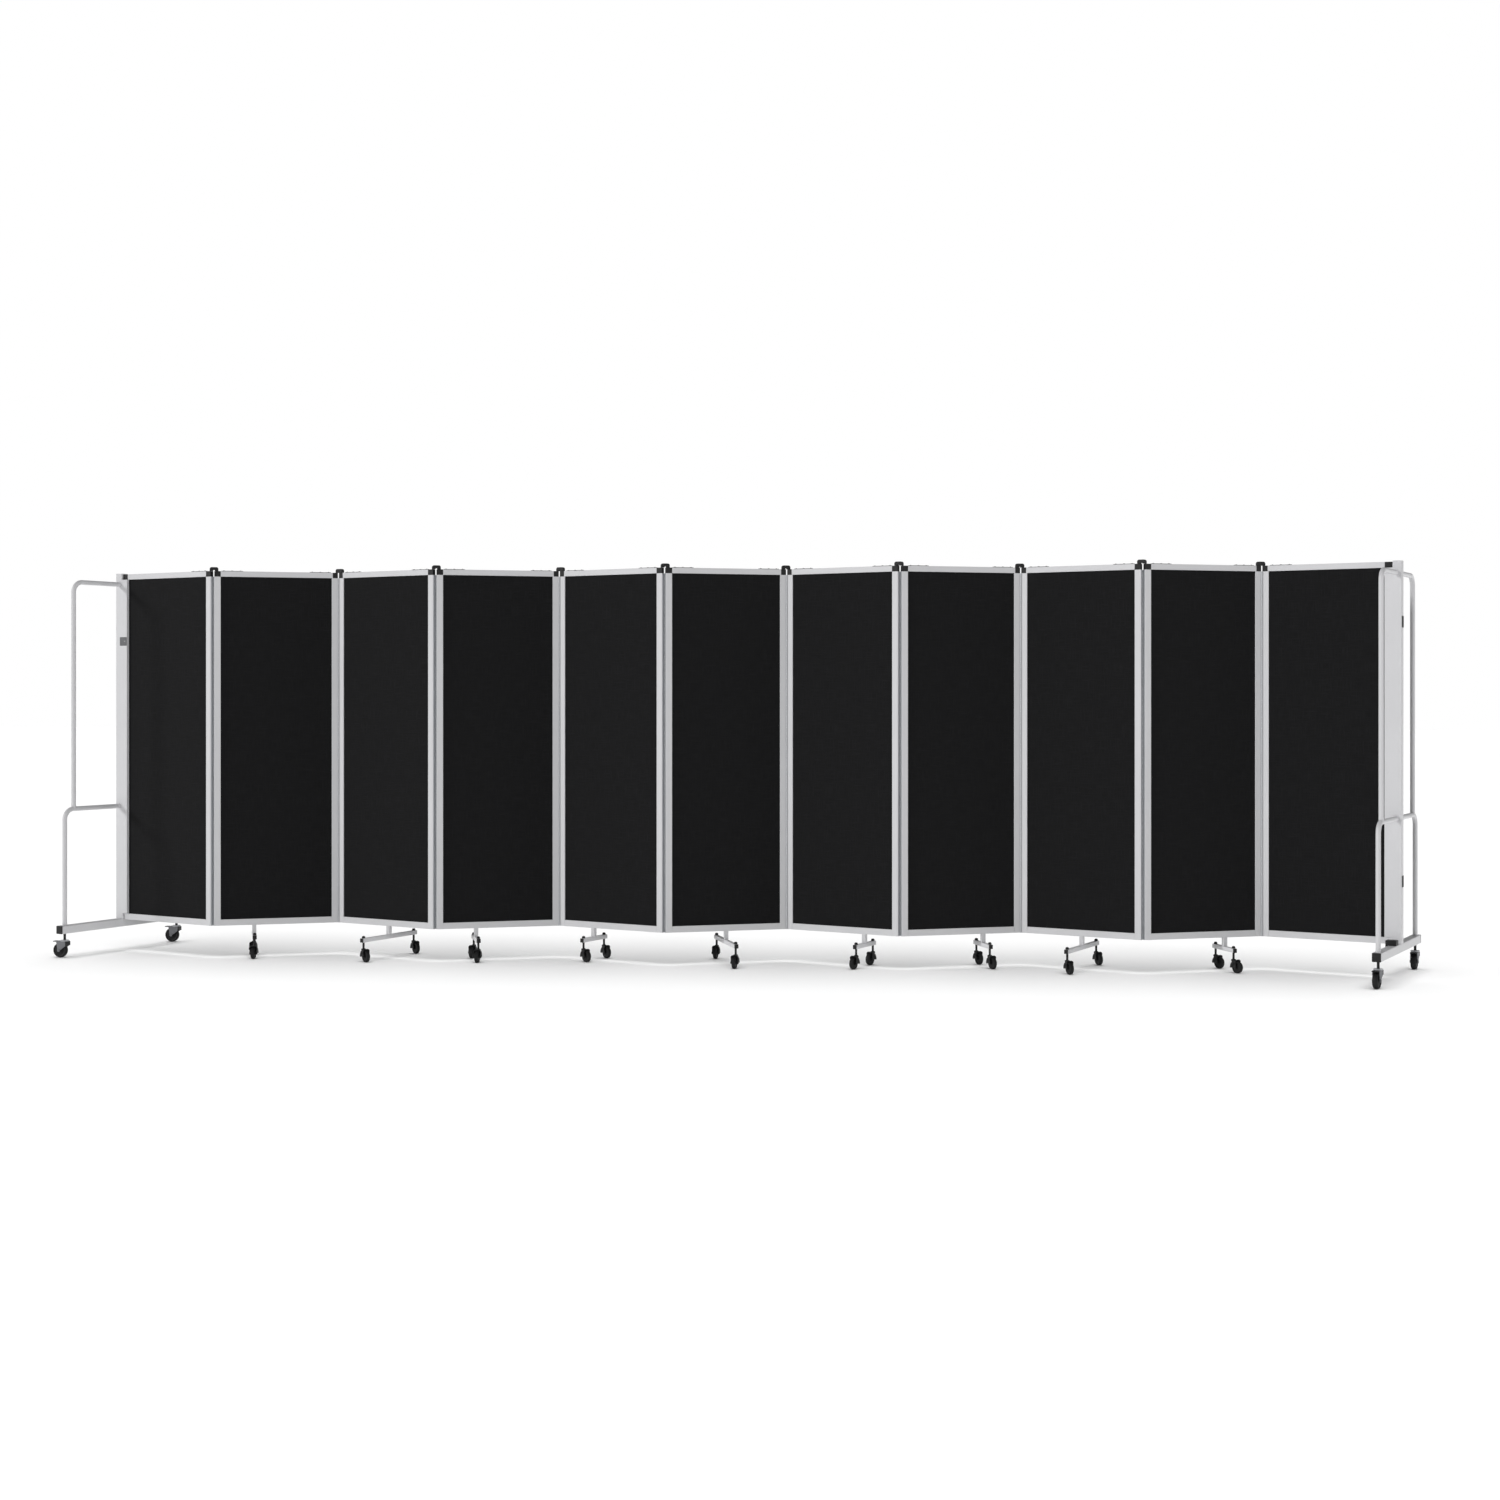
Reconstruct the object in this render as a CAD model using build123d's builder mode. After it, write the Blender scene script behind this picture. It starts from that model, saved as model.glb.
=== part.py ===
"""Portable folding room divider: eleven hinged panels between two wheeled end frames.

Millimetres. The origin is on the floor under the middle panel's centre, X runs along the
standing zigzag, Y to its back and Z up. Panels are numbered 1 to 11 from left to right.
"""

import os
from math import cos, radians, sin

from build123d import *

# Row
panel_count = 11
fold_half_angle = 22.5          # degrees each panel stands off the line of the row
overrun = 5.0                   # how far a cutting solid runs past what it cuts

# Panel frame
panel_wide = 573.0
panel_thick = 19.0
frame_bottom = 149.0
frame_top = 1826.0
rail_face = 29.0
top_rail_face = 26.0
groove_deep = 5.0
infill_thick = 9.0
infill_clearance = 0.3

# Piano hinge between two panels
leaf_gap = 2.4
leaf_thick = 1.0
leaf_wide = 15.0
barrel_radius = 3.0
pin_radius = 1.4
pin_clearance = 0.1
knuckle_gap = 0.6
knuckles = 3

# Cap over the top of a hinge
cap_wide = 40.0
cap_deep = 17.0
cap_high = 18.0
cap_round = 9.0
cap_lift = 0.5
cap_slot_wide = 8.0
cap_slot_high = 4.0

# Strap along the top rail
strap_long = 100.0
strap_wide = 12.0
strap_thick = 2.0
strap_setback = 32.0

# T-foot under a panel
foot_section = 19.0
foot_bar_bottom = 90.0
foot_bar_past_caster = 14.0
foot_cap_long = 4.0
short_foot_span = 168.0
long_foot_span = 361.0
foot_nut_radius = 8.0
foot_nut_high = 8.0
foot_station_shares = {2: 0.30, 3: 0.53, 4: 0.30, 5: 0.31, 6: 0.50, 7: 0.72, 8: 0.71, 9: 0.51, 10: 0.71}
long_foot_panels = (3, 6, 9)

# Small twin-wheel caster
twin_wheel_radius = 24.0
twin_wheel_wide = 12.0
twin_wheel_gap = 12.0
twin_trail = 15.0
twin_web_share = 0.7             # how much of the wheel's height the web between the wheels has
twin_stem_radius = 4.0
twin_hood_gap = 1.5
twin_hood_thick = 4.5
twin_side_gap = 0.4
# Direction in which each small caster trails, in degrees from +X: (front, rear)
twin_headings = {
    2: (-80.0, -60.0), 3: (-30.0, -30.0), 4: (-115.0, -115.0), 5: (-30.0, -30.0), 6: (-100.0, -85.0),
    7: (-130.0, -130.0), 8: (-45.0, -45.0), 9: (-45.0, -55.0), 10: (-15.0, -15.0),
}

# End post
post_wide = 45.0
post_deep = 38.0
post_lap = 29.0
post_lap_bottom = 30.0
post_rise = 4.0
post_clearance = 0.3

# End frame
end_bar_section = 38.0
end_bar_bottom = 114.0
end_caster_span = 707.0
end_bar_past_caster = 34.0
end_cap_long = 5.0
hoop_tube_radius = 11.0
hoop_bend_radius = 50.0
lower_hoop_height = 700.0
upper_hoop_height = 1777.0
upper_leg_inset = 53.0
keeper_wide = 50.0
keeper_deep = 40.0
keeper_top_thick = 20.0
keeper_overlap = 7.0
keeper_setback = 46.0
keeper_chamfer = 3.0

# End caster
end_wheel_radius = 35.0
end_wheel_wide = 24.0
end_wheel_chamfer = 4.0
end_trail = 22.0
end_stem_radius = 6.0
swivel_plate_radius = 21.0
swivel_plate_thick = 5.0
fork_plate_thick = 3.0
fork_top_length = 50.0
fork_side_gap = 1.5
fork_crown_gap = 5.0
axle_radius = 4.0
axle_clearance = 0.1
axle_boss_radius = 7.0
pedal_long = 26.0
pedal_wide = 26.0
pedal_thick = 3.5
end_headings = {"left_front": 172.0, "left_rear": 178.0, "right_front": -115.0, "right_rear": -110.0}

stile_top = frame_top - top_rail_face
corner_block_wide = rail_face - groove_deep
half_wide = panel_wide / 2
half_thick = panel_thick / 2
pin_back = half_thick + barrel_radius
pin_out = half_wide + leaf_gap / 2
panel_pitch = 2 * (pin_out * cos(radians(fold_half_angle)) + pin_back * sin(radians(fold_half_angle)))
middle_panel = (panel_count + 1) // 2
end_frame_x = half_wide + post_clearance + post_wide / 2
lower_leg = end_caster_span / 2
upper_leg = lower_leg - upper_leg_inset


def panel_angle(number):
    """Odd panels come forward to the right, even panels go back."""
    return -fold_half_angle if number % 2 else fold_half_angle


def panel_plane(number):
    """A panel's own frame: X along it, Y to its back, origin on the floor at its middle."""
    turn = radians(panel_angle(number))
    return Plane(
        origin=((number - middle_panel) * panel_pitch, 0, 0),
        x_dir=(cos(turn), sin(turn), 0),
        z_dir=(0, 0, 1),
    )


def pin_side(joint):
    """Hinge pins stand behind the panels at odd joints and in front at even ones."""
    return 1 if joint % 2 else -1


def heading_plane(point, heading):
    """A caster's own frame: X along its trail, origin on the floor under its stem."""
    turn = radians(heading)
    return Plane(origin=(point.X, point.Y, 0), x_dir=(cos(turn), sin(turn), 0), z_dir=(0, 0, 1))


def write_node(name, solids, plane=None):
    """Write one node: its separate solids, placed by the plane of the piece that carries it."""
    placed = [solid if plane is None else solid.moved(plane.location) for solid in solids]
    node = Compound(label=name, children=placed)
    export_step(node, f"parts/{name}.step")


# Panel frame: grooved aluminium stiles and rails, drawn in the panel's own frame

def stile(side):
    """An upright whose inner edge is grooved for the infill."""
    with BuildPart() as upright:
        with BuildSketch(Plane.XY.offset(frame_bottom)):
            with Locations((side * (half_wide - rail_face / 2), 0)):
                Rectangle(rail_face, panel_thick)
            with Locations((side * (half_wide - rail_face + groove_deep / 2), 0)):
                Rectangle(groove_deep, infill_thick + 2 * infill_clearance, mode=Mode.SUBTRACT)
        extrude(amount=stile_top - frame_bottom)
    return upright.part


def rail(low, face, inner_side, long):
    """A crosspiece, grooved on the side that faces the infill."""
    groove_mid = low + (face - groove_deep / 2 if inner_side > 0 else groove_deep / 2)
    with BuildPart() as crosspiece:
        with BuildSketch(Plane.YZ.offset(-long / 2)):
            with Locations((0, low + face / 2)):
                Rectangle(panel_thick, face)
            with Locations((0, groove_mid)):
                Rectangle(infill_thick + 2 * infill_clearance, groove_deep, mode=Mode.SUBTRACT)
        extrude(amount=long)
    return crosspiece.part


def corner_block(side):
    """The moulded block that fills a top corner over the stile."""
    with BuildPart() as block:
        with BuildSketch(Plane.XZ.offset(-half_thick)):
            with Locations((side * (half_wide - corner_block_wide / 2), stile_top + top_rail_face / 2)):
                Rectangle(corner_block_wide, top_rail_face)
        extrude(amount=panel_thick)
    return block.part


def top_strap(side):
    """A flat strap screwed down on the top rail beside a hinge."""
    reach = half_wide - strap_setback
    with BuildPart() as strap:
        with BuildSketch(Plane.XY.offset(frame_top)):
            with Locations((side * (reach - strap_long / 2), 0)):
                Rectangle(strap_long, strap_wide)
        extrude(amount=strap_thick)
    return strap.part


def infill_board():
    """The fabric-covered board that fills a panel, its edges in the grooves."""
    wide = panel_wide - 2 * (rail_face - groove_deep) - 2 * infill_clearance
    low = frame_bottom + rail_face - groove_deep + infill_clearance
    high = stile_top + groove_deep - infill_clearance - low
    with BuildPart() as board:
        with BuildSketch(Plane.XZ.offset(-infill_thick / 2)):
            with Locations((0, low + high / 2)):
                Rectangle(wide, high)
        extrude(amount=infill_thick)
    return board.part


# Piano hinge: two leaves with alternating knuckles, and one long pin staked in the first leaf's knuckles

def knuckle_spans(owner):
    """Low and high ends of one leaf's knuckles; leaf 0 has the ends, leaf 1 the ones between."""
    step = (stile_top - frame_bottom) / knuckles
    spans = []
    for place in range(owner, knuckles, 2):
        low = frame_bottom + place * step + (knuckle_gap / 2 if place else 0)
        high = frame_bottom + (place + 1) * step - (knuckle_gap / 2 if place < knuckles - 1 else 0)
        spans.append((low, high))
    return spans


def hinge_leaf(edge, pin, owner):
    """One leaf, flat on the stile's edge, with its knuckles; leaf 0 also holds the pin, and leaf 1 turns on it."""
    face = edge * half_wide
    pin_x = edge * pin_out
    pin_y = pin * pin_back
    leaf_mid = face + edge * leaf_thick / 2
    with BuildPart() as leaf:
        with BuildSketch(Plane.XY.offset(frame_bottom)):
            with Locations((leaf_mid, pin * (half_thick - leaf_wide / 2))):
                Rectangle(leaf_thick, leaf_wide)
        extrude(amount=stile_top - frame_bottom)
        for low, high in knuckle_spans(owner):
            with BuildSketch(Plane.XY.offset(low)):
                with Locations((pin_x, pin_y)):
                    Circle(barrel_radius)
                with Locations((leaf_mid, pin * (half_thick + barrel_radius / 2))):
                    Rectangle(leaf_thick, barrel_radius)
                if owner:
                    with Locations((pin_x, pin_y)):
                        Circle(pin_radius + pin_clearance, mode=Mode.SUBTRACT)
            extrude(amount=high - low)
        if not owner:
            with BuildSketch(Plane.XY.offset(frame_bottom)):
                with Locations((pin_x, pin_y)):
                    Circle(pin_radius)
            extrude(amount=stile_top - frame_bottom)
    return leaf.part


def hinge_cap(edge, pin):
    """The moulded cap over a hinge: it stands on one panel's corner block and bridges the gap."""
    low = frame_top + cap_lift
    seat = half_wide - corner_block_wide / 2
    with BuildPart() as cap:
        with BuildSketch(Plane.XZ.offset(-cap_deep / 2 - pin * (half_thick - cap_deep / 2))) as outline:
            with Locations((edge * pin_out, low + cap_high / 2)):
                Rectangle(cap_wide, cap_high)
            fillet(outline.vertices().group_by(Axis.Y)[-1], cap_round)
            with Locations((edge * pin_out, low + cap_slot_high / 2)):
                Rectangle(cap_slot_wide, cap_slot_high, mode=Mode.SUBTRACT)
        extrude(amount=cap_deep)
        with BuildSketch(Plane.XY.offset(frame_top)):
            with Locations((edge * seat, 0)):
                Rectangle(cap_slot_wide, cap_slot_wide)
        extrude(amount=2 * cap_lift)
    return cap.part


# T-foot under a panel

def foot_span(number):
    return long_foot_span if number in long_foot_panels else short_foot_span


def foot_x(number):
    """Where the stem stands along the panel, as a share of the width that shows between stiles."""
    clear_wide = panel_wide - 2 * rail_face
    return rail_face - half_wide + foot_station_shares[number] * clear_wide


def foot_stem(number):
    """The square stem between the bottom rail and the foot bar."""
    low = foot_bar_bottom + foot_section
    with BuildPart() as stem:
        with BuildSketch(Plane.XY.offset(low)):
            with Locations((foot_x(number), 0)):
                Rectangle(foot_section, foot_section)
        extrude(amount=frame_bottom - low)
    return stem.part


def foot_bar(number):
    """The square bar across the stem's foot, bored for the two caster stems."""
    long = foot_span(number) + 2 * foot_bar_past_caster - 2 * foot_cap_long
    with BuildPart() as bar:
        with BuildSketch(Plane.XZ.offset(-long / 2)):
            with Locations((foot_x(number), foot_bar_bottom + foot_section / 2)):
                Rectangle(foot_section, foot_section)
        extrude(amount=long)
        with Locations(Plane.XY.offset(foot_bar_bottom + foot_section)):
            with Locations(*[(foot_x(number), side * foot_span(number) / 2) for side in (-1, 1)]):
                Hole(twin_stem_radius + post_clearance)
    return bar.part


def foot_end_cap(number, side):
    """The moulded plug that closes one end of the foot bar."""
    outer = foot_span(number) / 2 + foot_bar_past_caster
    with BuildPart() as cap:
        with BuildSketch(Plane.XZ.offset(-outer if side > 0 else outer - foot_cap_long)):
            with Locations((foot_x(number), foot_bar_bottom + foot_section / 2)):
                Rectangle(foot_section, foot_section)
        extrude(amount=foot_cap_long)
    return cap.part


def panel_frame(number):
    """All the solids of one panel's frame, its T-foot and its hinge leaves."""
    solids = [stile(-1), stile(1), rail(frame_bottom, rail_face, 1, panel_wide - 2 * rail_face)]
    solids.append(rail(stile_top, top_rail_face, -1, panel_wide - 2 * corner_block_wide))
    solids += [corner_block(-1), corner_block(1)]
    if number > 1:
        solids += [hinge_leaf(-1, pin_side(number - 1), 1), top_strap(-1)]
    if number < panel_count:
        solids += [hinge_leaf(1, pin_side(number), 0), top_strap(1)]
    if number in foot_station_shares:
        solids += [foot_stem(number), foot_bar(number), foot_end_cap(number, -1), foot_end_cap(number, 1)]
    return solids


# Small twin-wheel caster, drawn trailing along +X from its stem

def twin_caster():
    """Two wheels on a moulded body, with a threaded stem and the nut on top of the bar."""
    wheel_mid = twin_wheel_gap / 2 + twin_side_gap + twin_wheel_wide / 2
    hood_in = twin_wheel_radius + twin_hood_gap
    hood_out = hood_in + twin_hood_thick
    body_top = 2 * twin_wheel_radius + twin_hood_gap + twin_hood_thick
    hood_wide = 2 * (wheel_mid + twin_wheel_wide / 2)
    nut_bottom = foot_bar_bottom + foot_section
    solids = []
    for side in (-1, 1):
        with BuildPart() as wheel:
            with BuildSketch(Plane.XZ.offset(-side * wheel_mid - twin_wheel_wide / 2)):
                with Locations((twin_trail, twin_wheel_radius)):
                    Circle(twin_wheel_radius)
            extrude(amount=twin_wheel_wide)
        solids.append(wheel.part)
    with BuildPart() as body:
        with BuildSketch(Plane.XZ.offset(-twin_wheel_gap / 2)):
            with Locations((twin_trail / 2, twin_wheel_radius)):
                Rectangle(2 * twin_trail, 2 * twin_web_share * twin_wheel_radius)
            with Locations((0, body_top - twin_wheel_radius / 2)):
                Rectangle(2 * twin_stem_radius + twin_hood_thick, twin_wheel_radius)
        extrude(amount=twin_wheel_gap)
        with BuildSketch(Plane.XZ.offset(-hood_wide / 2)):
            with Locations((twin_trail, twin_wheel_radius)):
                Circle(hood_out)
                Circle(hood_in, mode=Mode.SUBTRACT)
            with Locations((twin_trail + hood_out, twin_wheel_radius)):
                Rectangle(2 * hood_out, 2 * hood_out + overrun, mode=Mode.SUBTRACT)
            with Locations((twin_trail, -hood_out / 2 + twin_wheel_radius / 2)):
                Rectangle(2 * hood_out + overrun, hood_out + twin_wheel_radius, mode=Mode.SUBTRACT)
        extrude(amount=hood_wide)
        with BuildSketch(Plane.XY.offset(body_top - twin_hood_thick)):
            Circle(twin_stem_radius)
        extrude(amount=nut_bottom - body_top + twin_hood_thick)
        with BuildSketch(Plane.XY.offset(nut_bottom)):
            RegularPolygon(foot_nut_radius, 6)
        extrude(amount=foot_nut_high, taper=20)
    solids.append(body.part)
    return solids


# End post: a channel that laps the outer stile of the end panel

def end_post():
    """The full-height post, drawn in the right end panel's frame."""
    inner = half_wide + post_clearance
    lap_low = frame_bottom + post_lap_bottom
    with BuildPart() as post:
        with BuildSketch(Plane.XY.offset(end_bar_bottom + end_bar_section)):
            with Locations((inner + post_wide / 2, 0)):
                Rectangle(post_wide, post_deep)
        extrude(amount=frame_top + post_rise - end_bar_bottom - end_bar_section)
        with BuildSketch(Plane.XY.offset(lap_low)):
            with Locations((inner - post_lap / 2, 0)):
                Rectangle(post_lap, post_deep)
                Rectangle(post_lap, panel_thick + 2 * post_clearance, mode=Mode.SUBTRACT)
        extrude(amount=stile_top - lap_low)
    return post.part


def end_bar():
    """The foot bar across the end of the row."""
    long = end_caster_span + 2 * end_bar_past_caster - 2 * end_cap_long
    with BuildPart() as bar:
        with BuildSketch(Plane.XZ.offset(-long / 2)):
            with Locations((end_frame_x, end_bar_bottom + end_bar_section / 2)):
                Rectangle(end_bar_section, end_bar_section)
        extrude(amount=long)
    return bar.part


def end_bar_cap(side):
    outer = end_caster_span / 2 + end_bar_past_caster
    with BuildPart() as cap:
        with BuildSketch(Plane.XZ.offset(-outer if side > 0 else outer - end_cap_long)):
            with Locations((end_frame_x, end_bar_bottom + end_bar_section / 2)):
                Rectangle(end_bar_section, end_bar_section)
        extrude(amount=end_cap_long)
    return cap.part


def half_hoop(side, foot, height, leg_from_middle):
    """One bent tube of a hoop: up from its foot, round a bend and across to the post's face."""
    post_face = post_deep / 2
    with BuildPart() as tube:
        with BuildLine(Plane.YZ.offset(end_frame_x)) as path:
            FilletPolyline(
                (side * leg_from_middle, foot),
                (side * leg_from_middle, height),
                (side * post_face, height),
                radius=hoop_bend_radius,
            )
        with BuildSketch(Plane.XY.offset(foot)):
            with Locations((end_frame_x, side * leg_from_middle)):
                Circle(hoop_tube_radius)
        sweep(path=path.line)
    return tube.part


def keeper_block():
    """The moulded saddle block on the foot bar, in front of the post, that keeps the folded row shut."""
    bar_top = end_bar_bottom + end_bar_section
    low = bar_top - keeper_overlap
    high = bar_top + keeper_top_thick
    with BuildPart() as block:
        with BuildSketch(Plane.XZ.offset(post_deep / 2 + keeper_setback)):
            with Locations((end_frame_x, (low + high) / 2)):
                Rectangle(keeper_wide, high - low)
            with Locations((end_frame_x, (low + bar_top) / 2)):
                Rectangle(end_bar_section + 2 * post_clearance, bar_top - low, mode=Mode.SUBTRACT)
        extrude(amount=keeper_deep)
        chamfer(block.edges().filter_by(Axis.Y).group_by(Axis.Z)[-1], keeper_chamfer)
    return block.part


def end_frame(with_keeper):
    """Post, foot bar and the two hoops of one end, in the right end panel's frame."""
    bar_top = end_bar_bottom + end_bar_section
    upper_foot = lower_hoop_height + hoop_tube_radius
    solids = [end_post(), end_bar(), end_bar_cap(-1), end_bar_cap(1)]
    for side in (-1, 1):
        solids.append(half_hoop(side, bar_top, lower_hoop_height, lower_leg))
        solids.append(half_hoop(side, upper_foot, upper_hoop_height, upper_leg))
    if with_keeper:
        solids.append(keeper_block())
    return solids


# End caster, drawn trailing along +X from its stem

def end_fork():
    """Stem, swivel plate, pressed fork with its brake pedal, and the axle."""
    inner = end_wheel_wide / 2 + fork_side_gap
    fork_top = 2 * end_wheel_radius + fork_crown_gap + fork_plate_thick
    with BuildPart() as fork:
        for side in (-1, 1):
            low_y = inner if side > 0 else -inner - fork_plate_thick
            with BuildSketch(Plane.XZ.offset(-low_y - fork_plate_thick)):
                with BuildLine():
                    Polyline(
                        (-fork_top_length / 2, fork_top),
                        (fork_top_length / 2 + end_trail / 2, fork_top),
                        (end_trail + axle_boss_radius, end_wheel_radius),
                        (end_trail, end_wheel_radius - axle_boss_radius),
                        (end_trail - axle_boss_radius, end_wheel_radius),
                        close=True,
                    )
                make_face()
            extrude(amount=fork_plate_thick)
        with BuildSketch(Plane.XY.offset(fork_top - fork_plate_thick)):
            with Locations((end_trail / 4, 0)):
                Rectangle(fork_top_length + end_trail / 2, 2 * (inner + fork_plate_thick))
        extrude(amount=fork_plate_thick)
        with BuildSketch(Plane.XY.offset(fork_top - pedal_thick)):
            with Locations((fork_top_length / 2 + end_trail / 2 + pedal_long / 2 - overrun, 0)):
                Rectangle(pedal_long, pedal_wide)
        extrude(amount=pedal_thick)
        with BuildSketch(Plane.XZ.offset(-inner - fork_plate_thick)):
            with Locations((end_trail, end_wheel_radius)):
                Circle(axle_radius)
        extrude(amount=2 * (inner + fork_plate_thick))
    with BuildPart() as plate:
        with BuildSketch(Plane.XY.offset(fork_top)):
            Circle(swivel_plate_radius)
        extrude(amount=swivel_plate_thick)
        with BuildSketch(Plane.XY.offset(fork_top + swivel_plate_thick)):
            Circle(end_stem_radius)
        extrude(amount=end_bar_bottom - fork_top - swivel_plate_thick)
    return [fork.part, plate.part]


def end_wheel():
    """A moulded wheel with a bevelled tread and a bored hub."""
    with BuildPart() as wheel:
        with BuildSketch(Plane.XZ) as half:
            with Locations(((axle_radius + axle_clearance + end_wheel_radius) / 2, 0)):
                Rectangle(end_wheel_radius - axle_radius - axle_clearance, end_wheel_wide)
            chamfer(half.vertices().group_by(Axis.X)[-1], end_wheel_chamfer)
        revolve(axis=Axis.Z)
    turned = Plane(origin=(end_trail, 0, end_wheel_radius), x_dir=(1, 0, 0), z_dir=(0, 1, 0))
    return wheel.part.moved(turned.location)


# Write every node

os.makedirs("parts", exist_ok=True)

for number in range(1, panel_count + 1):
    plane = panel_plane(number)
    write_node(f"panel_frame_{number:02d}", panel_frame(number), plane)
    write_node(f"infill_{number:02d}", [infill_board()], plane)

for joint in range(1, panel_count):
    # A cap rides on the panel nearer the middle of the row.
    carrier, edge = (joint + 1, -1) if joint < middle_panel else (joint, 1)
    write_node(f"hinge_cap_{joint:02d}", [hinge_cap(edge, pin_side(joint))], panel_plane(carrier))

for number in foot_station_shares:
    for place, side in (("front", -1), ("rear", 1)):
        local = Vector(foot_x(number), side * foot_span(number) / 2, 0)
        stem = panel_plane(number).from_local_coords(local)
        heading = twin_headings[number][0 if side < 0 else 1]
        write_node(f"foot_caster_{number:02d}_{place}", twin_caster(), heading_plane(stem, heading))

right_end = panel_plane(panel_count)
left_end = Plane(origin=-right_end.origin, x_dir=-right_end.x_dir, z_dir=(0, 0, 1))
for end, plane, front in (("left", left_end, 1), ("right", right_end, -1)):
    write_node(f"end_frame_{end}", end_frame(end == "right"), plane)
    for place, side in (("front", front), ("rear", -front)):
        stem = plane.from_local_coords(Vector(end_frame_x, side * lower_leg, 0))
        corner = heading_plane(stem, end_headings[f"{end}_{place}"])
        write_node(f"end_fork_{end}_{place}", end_fork(), corner)
        write_node(f"end_wheel_{end}_{place}", [end_wheel()], corner)
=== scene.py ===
"""Looks of a folding room divider: eleven cloth panels between two wheeled end frames.

Every piece is drawn in millimetres in the frame of the panel or caster that carries it, and kept in metres.
"""
from math import cos, pi, radians, sin

import bmesh
import bpy
from mathutils import Matrix, Vector


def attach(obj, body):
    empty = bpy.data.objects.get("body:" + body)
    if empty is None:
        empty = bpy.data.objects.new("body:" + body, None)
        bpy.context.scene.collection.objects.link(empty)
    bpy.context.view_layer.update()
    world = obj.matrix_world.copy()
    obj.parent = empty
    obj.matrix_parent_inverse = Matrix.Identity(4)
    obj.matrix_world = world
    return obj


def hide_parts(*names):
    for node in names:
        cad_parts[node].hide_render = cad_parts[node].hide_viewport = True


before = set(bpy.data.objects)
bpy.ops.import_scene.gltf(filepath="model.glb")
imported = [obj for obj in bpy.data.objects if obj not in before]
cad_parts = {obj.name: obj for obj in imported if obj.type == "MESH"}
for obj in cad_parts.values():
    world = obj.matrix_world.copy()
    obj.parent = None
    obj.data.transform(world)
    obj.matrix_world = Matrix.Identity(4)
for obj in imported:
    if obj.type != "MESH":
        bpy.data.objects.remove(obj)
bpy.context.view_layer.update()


# Panel frames. Stiles and rails are grooved light-alloy lengths, sawn square, pinned at the corners and
# powder coated silver grey before the boards are slid in. The frames stand in an even zigzag, so that the
# pins of the hinges between them fall alternately behind and in front of the row.

panels = range(1, 12)
middle_panel = 6
panel_wide = 573
panel_thick = 19
half_wide = panel_wide / 2
half_thick = panel_thick / 2
frame_bottom = 149
stile_top = 1800
frame_top = 1826
rail_face = 29
groove_deep = 5
groove_half = 4.8
block_wide = rail_face - groove_deep
fold_half_angle = radians(22.5)
half_gap = 1.2
pin_proud = 3
pin_out = half_wide + half_gap
pin_back = half_thick + pin_proud
panel_pitch = 2 * (pin_out * cos(fold_half_angle) + pin_back * sin(fold_half_angle))
in_metres = Matrix.Diagonal((0.001, 0.001, 0.001, 1))


def panel_stand(number):
    """The matrix that takes a point drawn in a panel's own frame to where the panel stands in the row."""
    turn = -fold_half_angle if number % 2 else fold_half_angle
    place = Matrix.Translation(((number - middle_panel) * panel_pitch, 0, 0))
    return in_metres @ place @ Matrix.Rotation(turn, 4, "Z")


def pin_side(joint):
    """1 where a hinge's pin stands behind the row, and -1 where it stands in front."""
    return 1 if joint % 2 else -1


def linear(code):
    """The linear colour of an sRGB hex value."""
    channels = [int(code[place:place + 2], 16) / 255 for place in (1, 3, 5)]
    return [c / 12.92 if c <= 0.04045 else ((c + 0.055) / 1.055) ** 2.4 for c in channels] + [1]


def node(tree, kind, values=None, links=None, **settings):
    """A new node with its settings, the values of its sockets, and the sockets it is fed from."""
    new = tree.nodes.new(kind)
    for name, value in settings.items():
        setattr(new, name, value)
    for socket, value in (values or {}).items():
        new.inputs[socket].default_value = value
    for socket, source in (links or {}).items():
        tree.links.new(source, new.inputs[socket])
    return new


def blank_material(name, colour, roughness, metallic=0.0, ior=1.5):
    """A plain new material, with its node tree and its shader, that a surface's patterns are added to."""
    material = bpy.data.materials.new(name)
    material.use_nodes = True
    shader = material.node_tree.nodes["Principled BSDF"]
    shader.inputs["Base Color"].default_value = linear(colour)
    shader.inputs["Roughness"].default_value = roughness
    shader.inputs["Metallic"].default_value = metallic
    shader.inputs["IOR"].default_value = ior
    return material, material.node_tree, shader


def feed(tree, shader, **patterns):
    """Lead patterns into a shader, each to the input of its name."""
    for name, pattern in patterns.items():
        tree.links.new(pattern, shader.inputs[name.replace("_", " ")])


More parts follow.
